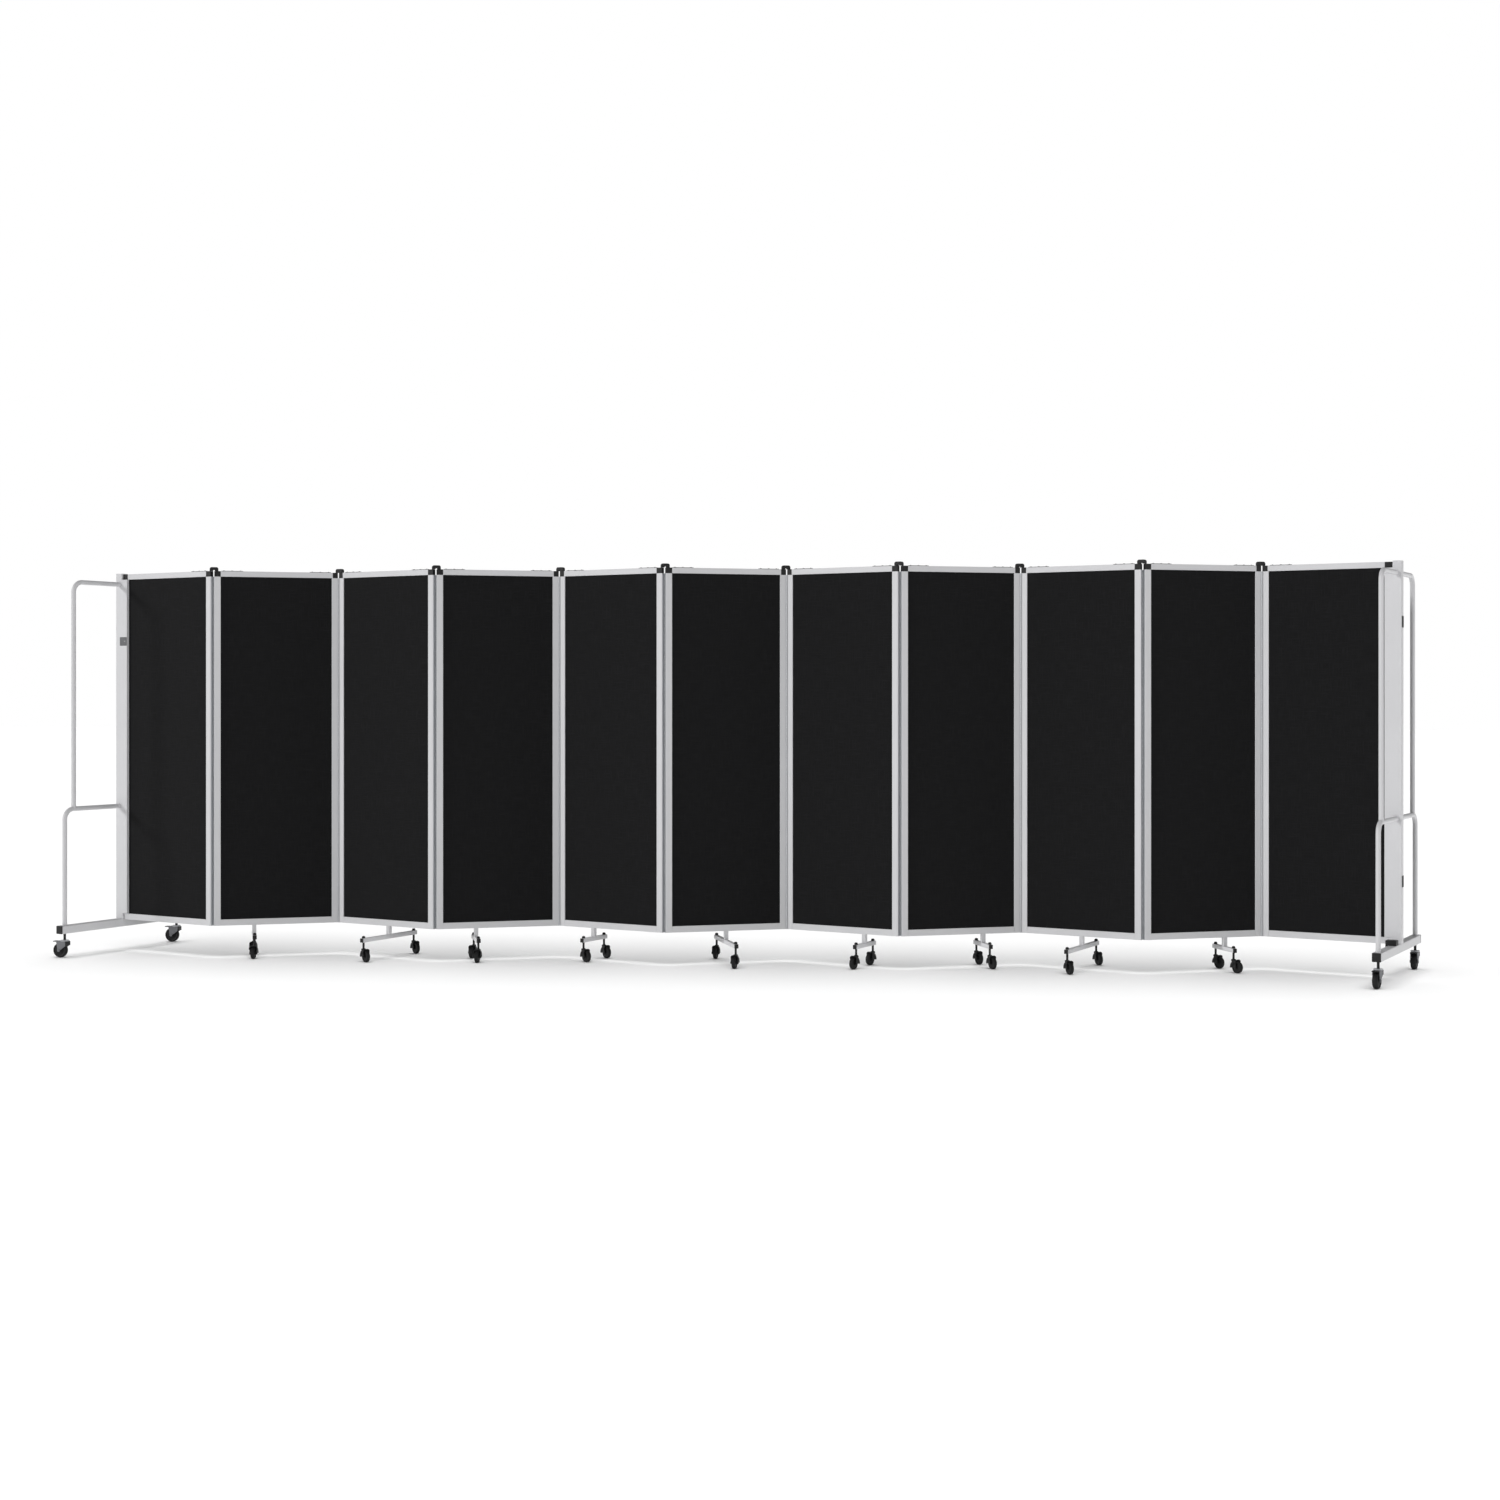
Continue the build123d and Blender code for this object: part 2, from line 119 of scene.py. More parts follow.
def powder_coat():
    """Satin polyester powder coat: peel about 1.2 mm across, with a slow drift of tone over a length."""
    silver_grey = "#CCCCCE"
    material, tree, shader = blank_material("Silver_grey_powder_coat", silver_grey, 0.42)
    place = node(tree, "ShaderNodeTexCoord").outputs["Object"]
    peel = node(tree, "ShaderNodeTexNoise", {"Scale": 800, "Detail": 2}, {"Vector": place})
    drift = node(tree, "ShaderNodeTexNoise", {"Scale": 3, "Detail": 3}, {"Vector": place})
    tone = node(tree, "ShaderNodeMapRange", {"To Min": 0.96, "To Max": 1.04},
                {"Value": drift.outputs["Fac"]})
    tint = node(tree, "ShaderNodeHueSaturation", {"Color": linear(silver_grey)},
                {"Value": tone.outputs["Result"]})
    sheen = node(tree, "ShaderNodeMapRange", {"To Min": 0.36, "To Max": 0.48},
                 {"Value": drift.outputs["Fac"]})
    bump = node(tree, "ShaderNodeBump", {"Strength": 0.25, "Distance": 0.00012},
                {"Height": peel.outputs["Fac"]})
    feed(tree, shader, Base_Color=tint.outputs["Color"], Roughness=sheen.outputs["Result"],
         Normal=bump.outputs["Normal"])
    return material


def rectangle(low_a, high_a, low_b, high_b):
    """The corners of a rectangle, from low a, low b anticlockwise."""
    return [(low_a, low_b), (high_a, low_b), (high_a, high_b), (low_a, high_b)]


def length_of(bm, section, low, high, along):
    """A straight length of a section, closed at both ends. A section on Z is drawn in x and y,
    on X in y and z, and on Y in x and z."""
    spots = {
        "X": lambda a, b, reach: (reach, a, b),
        "Y": lambda a, b, reach: (a, reach, b),
        "Z": lambda a, b, reach: (a, b, reach),
    }[along]
    start, end = [[bm.verts.new(spots(a, b, reach)) for a, b in section] for reach in (low, high)]
    bm.faces.new(start)
    bm.faces.new(reversed(end))
    for place in range(len(section)):
        bm.faces.new((start[place - 1], start[place], end[place], end[place - 1]))


def finished(name, source, stand, material, body, eased=0.0, corner=35):
    """Stand a drawn mesh in the row as one object that rides on its body, with its edges eased."""
    if isinstance(source, bpy.types.Mesh):
        mesh = source
        mesh.name = name
    else:
        bmesh.ops.recalc_face_normals(source, faces=source.faces)
        mesh = bpy.data.meshes.new(name)
        source.to_mesh(mesh)
        source.free()
    mesh.transform(stand)
    mesh.materials.clear()
    mesh.materials.append(material)
    mesh.shade_smooth()
    mesh.set_sharp_from_angle(angle=radians(corner))
    piece = bpy.data.objects.new(name, mesh)
    bpy.context.scene.collection.objects.link(piece)
    if eased:
        edge = piece.modifiers.new("Eased edges", "BEVEL")
        edge.width = eased / 1000
        edge.segments = 2
        edge.limit_method = "ANGLE"
        edge.angle_limit = radians(corner)
        even = piece.modifiers.new("Even faces", "WEIGHTED_NORMAL")
        even.keep_sharp = True
    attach(piece, body)
    return piece


coat = powder_coat()


def block_inner(number, side):
    """Where a corner block ends. It covers the whole stile beside a pin behind the row and at the right post,
    and elsewhere it leaves the lip of the stile's groove bare."""
    joint = number if side > 0 else number - 1
    return half_wide - (rail_face if pin_side(joint) > 0 else block_wide)


for number in panels:
    metal = bmesh.new()
    for side in (-1, 1):
        outer = side * half_wide
        inner = side * (half_wide - rail_face)
        floor = side * (half_wide - block_wide)
        stile = [(outer, -half_thick), (outer, half_thick), (inner, half_thick), (inner, groove_half),
                 (floor, groove_half), (floor, -groove_half), (inner, -groove_half), (inner, -half_thick)]
        length_of(metal, stile, frame_bottom, stile_top, "Z")
    between = half_wide - rail_face
    bottom_rail = (frame_bottom, frame_bottom + rail_face, between, between)
    top_rail = (frame_top, stile_top, block_inner(number, -1), block_inner(number, 1))
    for outer, inner, left, right in (bottom_rail, top_rail):
        floor = inner + (groove_deep if inner < outer else -groove_deep)
        rail = [(-half_thick, outer), (half_thick, outer), (half_thick, inner), (groove_half, inner),
                (groove_half, floor), (-groove_half, floor), (-groove_half, inner), (-half_thick, inner)]
        length_of(metal, rail, -left, right, "X")
    piece = finished(f"panel_metal_{number:02d}", metal, panel_stand(number), coat,
                     f"panel_{number:02d}", eased=1.0)
    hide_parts(f"panel_frame_{number:02d}")


# Cloth boards. Black polyester panel cloth is pulled tight over a light core and wrapped round its edges,
# then the board is slid into the grooves. The plain weave has slubs, thicker yarns that show as faint bars.

board_half = 262.2
board_low = 173.3
board_high = 1804.7
board_half_thick = 4.5
roll_step = 0.61


def panel_cloth():
    """Plain weave of 1.6 mm yarns, drawn about twice as coarse as the real one so that a close view shows it.
    Slubs up to 60 mm long run along both yarns and catch more light than the flat weave."""
    black = "#161617"
    material, tree, shader = blank_material("Black_polyester_panel_cloth", black, 0.95)
    shader.inputs["Specular IOR Level"].default_value = 0.12
    shader.inputs["Sheen Weight"].default_value = 0.02
    shader.inputs["Sheen Roughness"].default_value = 0.6
    place = node(tree, "ShaderNodeUVMap", uv_map="cloth").outputs["UV"]
    yarns = []
    slubs = []
    for across, stretch in (("X", (1, 0.06, 1)), ("Y", (0.06, 1, 1))):
        yarn = node(tree, "ShaderNodeTexWave",
                    {"Scale": 98, "Distortion": 0.6, "Detail": 1, "Detail Scale": 4},
                    {"Vector": place}, bands_direction=across)
        yarns.append(yarn.outputs["Fac"])
        run = node(tree, "ShaderNodeMapping", {"Scale": stretch}, {"Vector": place})
        slub = node(tree, "ShaderNodeTexNoise", {"Scale": 240, "Detail": 3, "Roughness": 0.6},
                    {"Vector": run.outputs["Vector"]})
        slubs.append(slub.outputs["Fac"])
    weave = node(tree, "ShaderNodeMath", None, {0: yarns[0], 1: yarns[1]}, operation="MULTIPLY")
    bars = node(tree, "ShaderNodeMath", None, {0: slubs[0], 1: slubs[1]}, operation="MAXIMUM")
    tone = node(tree, "ShaderNodeMapRange",
                {"From Min": 0.45, "From Max": 0.8, "To Min": 0.85, "To Max": 1.6},
                {"Value": bars.outputs["Value"]})
    tint = node(tree, "ShaderNodeHueSaturation", {"Color": linear(black)}, {"Value": tone.outputs["Result"]})
    relief = node(tree, "ShaderNodeMath", None, {0: weave.outputs["Value"], 1: bars.outputs["Value"]},
                  operation="ADD")
    bump = node(tree, "ShaderNodeBump", {"Strength": 0.5, "Distance": 0.0003},
                {"Height": relief.outputs["Value"]})
    feed(tree, shader, Base_Color=tint.outputs["Color"], Normal=bump.outputs["Normal"])
    return material


cloth = panel_cloth()

for number in panels:
    board = bmesh.new()
    length_of(board, rectangle(-board_half, board_half, board_low, board_high),
              -board_half_thick, board_half_thick, "Y")
    weave_place = board.loops.layers.uv.new("cloth")
    for face in board.faces:
        for loop in face.loops:
            spot = loop.vert.co
            # Each board is cut from its own place along the roll.
            loop[weave_place].uv = ((spot.x + spot.y) / 1000 + roll_step * number, (spot.z + spot.y) / 1000)
    piece = finished(f"cloth_board_{number:02d}", board, panel_stand(number), cloth,
                     f"panel_{number:02d}", eased=1.5)
    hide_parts(f"infill_{number:02d}")


# Corner blocks and hinge caps. Black nylon, moulded with a fine spark grain and rounded edges. A block is
# pressed into the top of each stile. A cap is pegged to one block of each hinge and bridges the gap.

block_round = 2
end_block_more = 5.8
post_sides = ((1, -1), (11, 1))
hinges = range(1, 11)
cap_lift = 0.5
cap_wide = 40
cap_deep = 17
cap_high = 18
cap_round = 9
cap_slot_half = 4
cap_slot_high = 4
peg_half = 4
peg_in_cap = 2


def moulded_nylon():
    """Spark-eroded grain about 0.4 mm across; a little dust lightens it in patches."""
    black = "#101011"
    material, tree, shader = blank_material("Black_moulded_nylon", black, 0.5, ior=1.53)
    shader.inputs["Specular IOR Level"].default_value = 0.3
    place = node(tree, "ShaderNodeTexCoord").outputs["Object"]
    grain = node(tree, "ShaderNodeTexNoise", {"Scale": 2500, "Detail": 3}, {"Vector": place})
    patches = node(tree, "ShaderNodeTexNoise", {"Scale": 40, "Detail": 4}, {"Vector": place})
    tone = node(tree, "ShaderNodeMapRange", {"To Min": 0.8, "To Max": 1.3}, {"Value": patches.outputs["Fac"]})
    tint = node(tree, "ShaderNodeHueSaturation", {"Color": linear(black)}, {"Value": tone.outputs["Result"]})
    bump = node(tree, "ShaderNodeBump", {"Strength": 0.35, "Distance": 0.0002},
                {"Height": grain.outputs["Fac"]})
    feed(tree, shader, Base_Color=tint.outputs["Color"], Normal=bump.outputs["Normal"])
    return material


def rounded(low_a, high_a, low_b, high_b, radius, corners=(0, 1, 2, 3), steps=5):
    """A rectangle with some of its corners rounded, counted from low a, low b anticlockwise."""
    points = []
    for corner, (a, b) in enumerate(rectangle(low_a, high_a, low_b, high_b)):
        if corner not in corners:
            points.append((a, b))
            continue
        middle_a = a + (radius if a == low_a else -radius)
        middle_b = b + (radius if b == low_b else -radius)
        for step in range(steps + 1):
            turn = radians(180 + 90 * corner + 90 * step / steps)
            points.append((middle_a + radius * cos(turn), middle_b + radius * sin(turn)))
    return points


nylon = moulded_nylon()

for number in panels:
    blocks = bmesh.new()
    for side in (-1, 1):
        reach = half_wide + end_block_more if (number, side) in post_sides else half_wide
        low, high = sorted((side * reach, side * block_inner(number, side)))
        length_of(blocks, rounded(low, high, stile_top, frame_top, block_round), -half_thick, half_thick, "Y")
    finished(f"corner_blocks_{number:02d}", blocks, panel_stand(number), nylon,
             f"panel_{number:02d}", eased=0.8)

for joint in hinges:
    # The cap is fixed to the panel nearer the row's middle.
    carrier, edge = (joint + 1, -1) if joint < middle_panel else (joint, 1)
    low = frame_top + cap_lift
    middle = edge * pin_out
    near, far = sorted((pin_side(joint) * half_thick, pin_side(joint) * (half_thick - cap_deep)))
    outline = rounded(middle - cap_wide / 2, middle + cap_wide / 2, low, low + cap_high, cap_round,
                      corners=(2, 3))
    slot_top = low + cap_slot_high
    outline[1:1] = [(middle - cap_slot_half, low), (middle - cap_slot_half, slot_top),
                    (middle + cap_slot_half, slot_top), (middle + cap_slot_half, low)]
    cap = bmesh.new()
    length_of(cap, outline, near, far, "Y")
    seat = edge * (half_wide - block_wide / 2)
    length_of(cap, rectangle(seat - peg_half, seat + peg_half, -peg_half, peg_half),
              frame_top, low + peg_in_cap, "Z")
    piece = finished(f"hinge_cap_over_{joint:02d}", cap, panel_stand(carrier), nylon,
                     f"panel_{carrier:02d}", eased=0.9)
    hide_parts(f"hinge_cap_{joint:02d}")


# Piano hinges. Zinc-plated steel strip, 1 mm thick, is rolled into a knuckle at every second inch and runs
# the whole height of a stile on one pin. Low cross-head screws hold a leaf down every 115 mm.

knuckle_pitch = 25.4
knuckle_gap = 0.8
knuckle_long = knuckle_pitch - knuckle_gap
knuckle_count = 33
barrel_radius = 3
leaf_wide = 15
leaf_thick = 1
tongue_in = 0.7
screw_pitch = 115
screw_count = 14
first_screw = frame_bottom + screw_pitch * 0.7
screw_off_middle = 0.5
screw_seat = 0.9


def plated_steel():
    """Bright zinc under clear passivate: soft grey, with crystals about 5 mm across just showing."""
    soft_grey = "#C2C4C7"
    material, tree, shader = blank_material("Zinc_plated_steel", soft_grey, 0.36, metallic=0.55)
    place = node(tree, "ShaderNodeTexCoord").outputs["Object"]
    crystals = node(tree, "ShaderNodeTexVoronoi", {"Scale": 200}, {"Vector": place})
    rub = node(tree, "ShaderNodeTexNoise", {"Scale": 60, "Detail": 4}, {"Vector": place})
    dull = node(tree, "ShaderNodeMapRange", {"To Min": 0.3, "To Max": 0.5}, {"Value": rub.outputs["Fac"]})
    tone = node(tree, "ShaderNodeMapRange", {"To Min": 0.92, "To Max": 1.05},
                {"Value": crystals.outputs["Distance"]})
    tint = node(tree, "ShaderNodeHueSaturation", {"Color": linear(soft_grey)},
                {"Value": tone.outputs["Result"]})
    feed(tree, shader, Base_Color=tint.outputs["Color"], Roughness=dull.outputs["Result"])
    return material


def new_tree(name, **sockets):
    """A geometry tree with named inputs and one mesh output, and the sockets that its inputs arrive on."""
    tree = bpy.data.node_groups.new(name, "GeometryNodeTree")
    for label, kind in sockets.items():
        tree.interface.new_socket(label.replace("_", " "), in_out="INPUT", socket_type="NodeSocket" + kind)
    tree.interface.new_socket("Mesh", in_out="OUTPUT", socket_type="NodeSocketGeometry")
    return tree, node(tree, "NodeGroupInput").outputs


def close_tree(tree, given, mesh):
    """Make the instances real, give them the material, and hand the mesh out."""
    real = node(tree, "GeometryNodeRealizeInstances", links={"Geometry": mesh})
    dressed = node(tree, "GeometryNodeSetMaterial",
                   links={"Geometry": real.outputs[0], "Material": given["Material"]})
    node(tree, "NodeGroupOutput", links={"Mesh": dressed.outputs[0]})
    return tree


def grown(tree, **values):
    """The plain mesh that a geometry tree makes from these inputs."""
    carrier = bpy.data.objects.new("carrier", bpy.data.meshes.new("carrier"))
    bpy.context.scene.collection.objects.link(carrier)
    maker = carrier.modifiers.new(tree.name, "NODES")
    maker.node_group = tree
    for socket in tree.interface.items_tree:
        if socket.in_out == "INPUT":
            maker[socket.identifier] = values[socket.name.replace(" ", "_")]
    mesh = bpy.data.meshes.new_from_object(carrier.evaluated_get(bpy.context.evaluated_depsgraph_get()))
    carrier.modifiers.remove(maker)
    bpy.data.objects.remove(carrier)
    return mesh


def knuckle_tree():
    """Rolled knuckles, each with the tongue of leaf that it is rolled from, in a row up the pin."""
    tree, given = new_tree("Rolled knuckles", Count="Int", First="Vector", Step="Vector", Radius="Float",
                           Long="Float", Tongue_size="Vector", Tongue_place="Vector", Material="Material")
    row = node(tree, "GeometryNodeMeshLine", mode="OFFSET",
               links={"Count": given["Count"], "Start Location": given["First"], "Offset": given["Step"]})
    barrel = node(tree, "GeometryNodeMeshCylinder", {"Vertices": 14},
                  {"Radius": given["Radius"], "Depth": given["Long"]})
    tongue = node(tree, "GeometryNodeMeshCube", links={"Size": given["Tongue size"]})
    moved = node(tree, "GeometryNodeTransform", links={"Geometry": tongue.outputs["Mesh"],
                                                       "Translation": given["Tongue place"]})
    knuckle = node(tree, "GeometryNodeJoinGeometry")
    tree.links.new(barrel.outputs["Mesh"], knuckle.inputs[0])
    tree.links.new(moved.outputs["Geometry"], knuckle.inputs[0])
    many = node(tree, "GeometryNodeInstanceOnPoints",
                links={"Points": row.outputs["Mesh"], "Instance": knuckle.outputs[0]})
    return close_tree(tree, given, many.outputs["Instances"])


def screw_tree():
    """Cross-head screws in a row: a low dome, scaled to its height, with two slots cut across it."""
    tree, given = new_tree("Screw heads", Count="Int", First="Vector", Step="Vector", Turn="Vector",
                           Head_size="Vector", Slot_size="Vector", Material="Material")
    row = node(tree, "GeometryNodeMeshLine", mode="OFFSET",
               links={"Count": given["Count"], "Start Location": given["First"], "Offset": given["Step"]})
    ball = node(tree, "GeometryNodeMeshUVSphere", {"Segments": 16, "Rings": 8, "Radius": 1.0})
    dome = node(tree, "GeometryNodeTransform",
                links={"Geometry": ball.outputs["Mesh"], "Scale": given["Head size"]})
    slot = node(tree, "GeometryNodeMeshCube", links={"Size": given["Slot size"]})
    top = node(tree, "ShaderNodeVectorMath", {1: (0, 0, 1)}, {0: given["Head size"]}, operation="MULTIPLY")
    first_cut = node(tree, "GeometryNodeTransform",
                     links={"Geometry": slot.outputs["Mesh"], "Translation": top.outputs["Vector"]})
    second_cut = node(tree, "GeometryNodeTransform", {"Rotation": (0, 0, pi / 2)},
                      {"Geometry": slot.outputs["Mesh"], "Translation": top.outputs["Vector"]})
    head = node(tree, "GeometryNodeMeshBoolean", links={"Mesh 1": dome.outputs["Geometry"]},
                operation="DIFFERENCE")
    tree.links.new(first_cut.outputs["Geometry"], head.inputs["Mesh 2"])
    tree.links.new(second_cut.outputs["Geometry"], head.inputs["Mesh 2"])
    many = node(tree, "GeometryNodeInstanceOnPoints",
                links={"Points": row.outputs["Mesh"], "Instance": head.outputs["Mesh"],
                       "Rotation": given["Turn"]})
    return close_tree(tree, given, many.outputs["Instances"])


zinc = plated_steel()
knuckles = knuckle_tree()
screws = screw_tree()

for joint in hinges:
    pin = pin_side(joint)
    for owner, (number, edge) in enumerate(((joint, 1), (joint + 1, -1))):
        face = edge * half_wide
        leaf_low, leaf_high = sorted((pin * half_thick, pin * (half_thick - leaf_wide)))
        low, high = sorted((face, face + edge * leaf_thick))
        leaf = bmesh.new()
        length_of(leaf, rectangle(low, high, leaf_low, leaf_high), frame_bottom, stile_top, "Z")
        body = f"panel_{number:02d}"
        finished(f"hinge_leaf_{joint:02d}_{owner}", leaf, panel_stand(number), zinc, body)
        row = grown(
            knuckles, Count=knuckle_count - owner,
            First=(edge * pin_out, pin * pin_back, frame_bottom + knuckle_pitch * (owner + 0.5)),
            Step=(0, 0, 2 * knuckle_pitch), Radius=barrel_radius, Long=knuckle_long,
            Tongue_size=(leaf_thick, barrel_radius, knuckle_long),
            Tongue_place=(-edge * tongue_in, -pin * barrel_radius / 2, 0), Material=zinc)
        finished(f"hinge_knuckles_{joint:02d}_{owner}", row, panel_stand(number), zinc, body)
        heads = grown(
            screws, Count=screw_count, First=(face + edge * screw_seat, -pin * screw_off_middle, first_screw),
            Step=(0, 0, screw_pitch), Turn=(0, edge * pi / 2, 0), Head_size=(3.4, 3.4, 0.28),
            Slot_size=(4.0, 0.9, 0.4), Material=zinc)
        finished(f"hinge_screws_{joint:02d}_{owner}", heads, panel_stand(number), zinc, body)


# Rail straps. A flat black-painted steel strap with round ends is screwed down on the top rail each side of a
# hinge, 32 mm from the stile's edge, and stiffens the corner block's joint.

strap_set_in = 32
strap_long = 100
strap_high = half_wide - strap_set_in
strap_low = strap_high - strap_long
strap_half = 6
strap_thick = 2
strap_top = frame_top + strap_thick
strap_screw_in = 12
strap_screw_pitch = 38


def black_paint():
    """Baked black enamel, a little rubbed, with brush-fine unevenness about 2 mm across."""
    material, tree, shader = blank_material("Black_baked_enamel", "#1E1F20", 0.4)
    place = node(tree, "ShaderNodeTexCoord").outputs["Object"]
    rub = node(tree, "ShaderNodeTexNoise", {"Scale": 500, "Detail": 3}, {"Vector": place})
    dull = node(tree, "ShaderNodeMapRange", {"To Min": 0.32, "To Max": 0.5}, {"Value": rub.outputs["Fac"]})
    bump = node(tree, "ShaderNodeBump", {"Strength": 0.15, "Distance": 0.0001},
                {"Height": rub.outputs["Fac"]})
    feed(tree, shader, Roughness=dull.outputs["Result"], Normal=bump.outputs["Normal"])
    return material


enamel = black_paint()

for number in panels:
    for side in (-1, 1):
        if (number, side) in post_sides:
            continue
        low, high = sorted((side * strap_low, side * strap_high))
        strap = bmesh.new()
        length_of(strap, rounded(low, high, -strap_half, strap_half, strap_half, steps=8),
                  frame_top, strap_top, "Z")
        end = "left" if side < 0 else "right"
        body = f"panel_{number:02d}"
        finished(f"rail_strap_{number:02d}_{end}", strap, panel_stand(number), enamel, body,
                 eased=0.4)
        heads = grown(
            screws, Count=3, First=(low + strap_screw_in, 0, strap_top), Step=(strap_screw_pitch, 0, 0),
            Turn=(0, 0, 0), Head_size=(4.2, 4.2, 2.0), Slot_size=(5.0, 1.0, 1.6), Material=enamel)
        finished(f"strap_screws_{number:02d}_{end}", heads, panel_stand(number), enamel,
                 body)


# T-feet. Square tube, 19 mm, is welded to a T and bolted up under the bottom rail, and black plugs close its
# ends. Panels 3, 6 and 9 have the long bar, and the others the short one.

foot_half = 9.5
foot_bottom = 90
foot_top = foot_bottom + 2 * foot_half
foot_past_stem = 14
plug_long = 1.5
plug_round = 2
long_footed = (3, 6, 9)
long_span = 361
short_span = 168
foot_places = {2: 0.30, 3: 0.53, 4: 0.30, 5: 0.31, 6: 0.50, 7: 0.72, 8: 0.71, 9: 0.51, 10: 0.71}


def foot_x(number):
    """Where the foot stands along its panel."""
    return rail_face - half_wide + foot_places[number] * (panel_wide - 2 * rail_face)


def foot_span(number):
    """How far apart the stems of the foot's two casters stand."""
    return long_span if number in long_footed else short_span


for number in foot_places:
    body = f"panel_{number:02d}"
    middle = foot_x(number)
    outer = foot_span(number) / 2 + foot_past_stem
    tube = bmesh.new()
    length_of(tube, rectangle(middle - foot_half, middle + foot_half, -foot_half, foot_half),
              foot_top, frame_bottom, "Z")
    length_of(tube, rectangle(middle - foot_half, middle + foot_half, foot_bottom, foot_top),
              plug_long - outer, outer - plug_long, "Y")
    finished(f"foot_metal_{number:02d}", tube, panel_stand(number), coat, body, eased=1.2)
    plugs = bmesh.new()
    for side in (-1, 1):
        low, high = sorted((side * outer, side * (outer - plug_long)))
        square = rounded(middle - foot_half, middle + foot_half, foot_bottom, foot_top, plug_round)
        length_of(plugs, square, low, high, "Y")
    finished(f"foot_plugs_{number:02d}", plugs, panel_stand(number), nylon, body, eased=0.8)


# Small casters. A black nylon fork with a hooded crown swivels on a threaded stem that goes up through the
# foot bar to a domed nut. Its one wheel, moulded with a rounded tread, trails between the fork's legs.

small_radius = 27
small_trail = 23
small_axle = (small_trail, 0, small_radius)
small_wheel_side = [(0, -8.5), (7, -8.5), (8, -6.5), (18, -6), (20, -8), (24, -8.5), (26.2, -7),
                    (small_radius, -3.5)]
small_wheel_profile = small_wheel_side + [(radius, -reach) for radius, reach in reversed(small_wheel_side)]
leg_inner = 14.5
leg_outer = 17.5
leg_outline = [(3, 34), (12, 48), (24, 50), (29, 29), (28, 22.5), (small_trail, 20), (18, 22.5), (14, 27)]
pin_profile = [(0, -19), (4.5, -19), (5, -18), (5, 18), (4.5, 19), (0, 19)]
# The hood's section, outside and back inside, is carried from the wheel's top down its side by the stem.
hood_section = [(12, -leg_outer), (26, -leg_outer), (31, -15.5), (34, -10), (34, 10), (31, 15.5),
                (26, leg_outer), (12, leg_outer), (12, leg_inner), (26, leg_inner), (30, 9.5), (30, -9.5),
                (26, -leg_inner), (12, -leg_inner)]
hood_turns = range(82, 187, 8)
hood_top = 61
boss_bottom = hood_top - 11
stem_radius = 5
stem_profile = [(0, boss_bottom), (9, boss_bottom), (11, hood_top - 6), (10, hood_top),
                (stem_radius, hood_top + 1), (stem_radius, foot_top), (8, foot_top), (8, foot_top + 5),
                (7, foot_top + 8), (4.5, foot_top + 10), (0, foot_top + 10.5)]
# The way the front and the rear caster of each foot trail their stems, in degrees.
small_headings = {2: (-83, -80), 3: (-43, -45), 4: (-88, -95), 5: (-41, -44), 6: (-96, -94),
                  7: (-116, -120), 8: (-57, -57), 9: (-63, -61), 10: (-48, -51)}


def lathe(bm, profile, centre, along, steps=40):
    """A closed turned form, from a profile of (radius, reach) pairs in order along its axis."""
    rings = []
    for radius, reach in profile:
        ring = []
        for step in range(steps if radius else 1):
            turn = 2 * pi * step / steps
            a, b = radius * cos(turn), radius * sin(turn)
            spot = (a, reach, b) if along == "Y" else (a, b, reach)
            ring.append(bm.verts.new(Vector(centre) + Vector(spot)))
        rings.append(ring)
    for first, second in zip(rings, rings[1:]):
        for step in range(steps):
            after = (step + 1) % steps
            corners = [first[step % len(first)], first[after % len(first)],
                       second[after % len(second)], second[step % len(second)]]
            bm.faces.new(list(dict.fromkeys(corners)))


def part_turned(bm, section, centre, turns):
    """A closed section of (radius, reach) pairs carried round an axis on Y, through angles in degrees."""
    rings = []
    for turn in turns:
        across, up = cos(radians(turn)), sin(radians(turn))
        rings.append([bm.verts.new(Vector(centre) + Vector((radius * across, reach, radius * up)))
                      for radius, reach in section])
    for first, second in zip(rings, rings[1:]):
        for step in range(len(section)):
            after = (step + 1) % len(section)
            bm.faces.new((first[step], first[after], second[after], second[step]))
    bm.faces.new(rings[0])
    bm.faces.new(rings[-1])


def caster_stand(carrier, x, y, heading):
    """The matrix that takes a caster drawn under its stem, trailing along X, to where the caster stands."""
    spot = carrier @ Vector((x, y, 0))
    return Matrix.Translation(spot) @ Matrix.Rotation(radians(heading), 4, "Z") @ in_metres


def tread_rubber():
    """Black thermoplastic tread: dull, lightened and roughened by floor dust in patches about 11 mm wide."""
    black = "#0F0F10"
    material, tree, shader = blank_material("Black_tread_rubber", black, 0.68, ior=1.52)
    shader.inputs["Specular IOR Level"].default_value = 0.3
    place = node(tree, "ShaderNodeTexCoord").outputs["Object"]
    dust = node(tree, "ShaderNodeTexNoise", {"Scale": 90, "Detail": 5}, {"Vector": place})
    tone = node(tree, "ShaderNodeMapRange", {"From Min": 0.4, "From Max": 0.8, "To Min": 0.9, "To Max": 1.7},
                {"Value": dust.outputs["Fac"]})
    tint = node(tree, "ShaderNodeHueSaturation", {"Color": linear(black)}, {"Value": tone.outputs["Result"]})
    bump = node(tree, "ShaderNodeBump", {"Strength": 0.2, "Distance": 0.0003},
                {"Height": dust.outputs["Fac"]})
    feed(tree, shader, Base_Color=tint.outputs["Color"], Normal=bump.outputs["Normal"])
    return material


tread = tread_rubber()

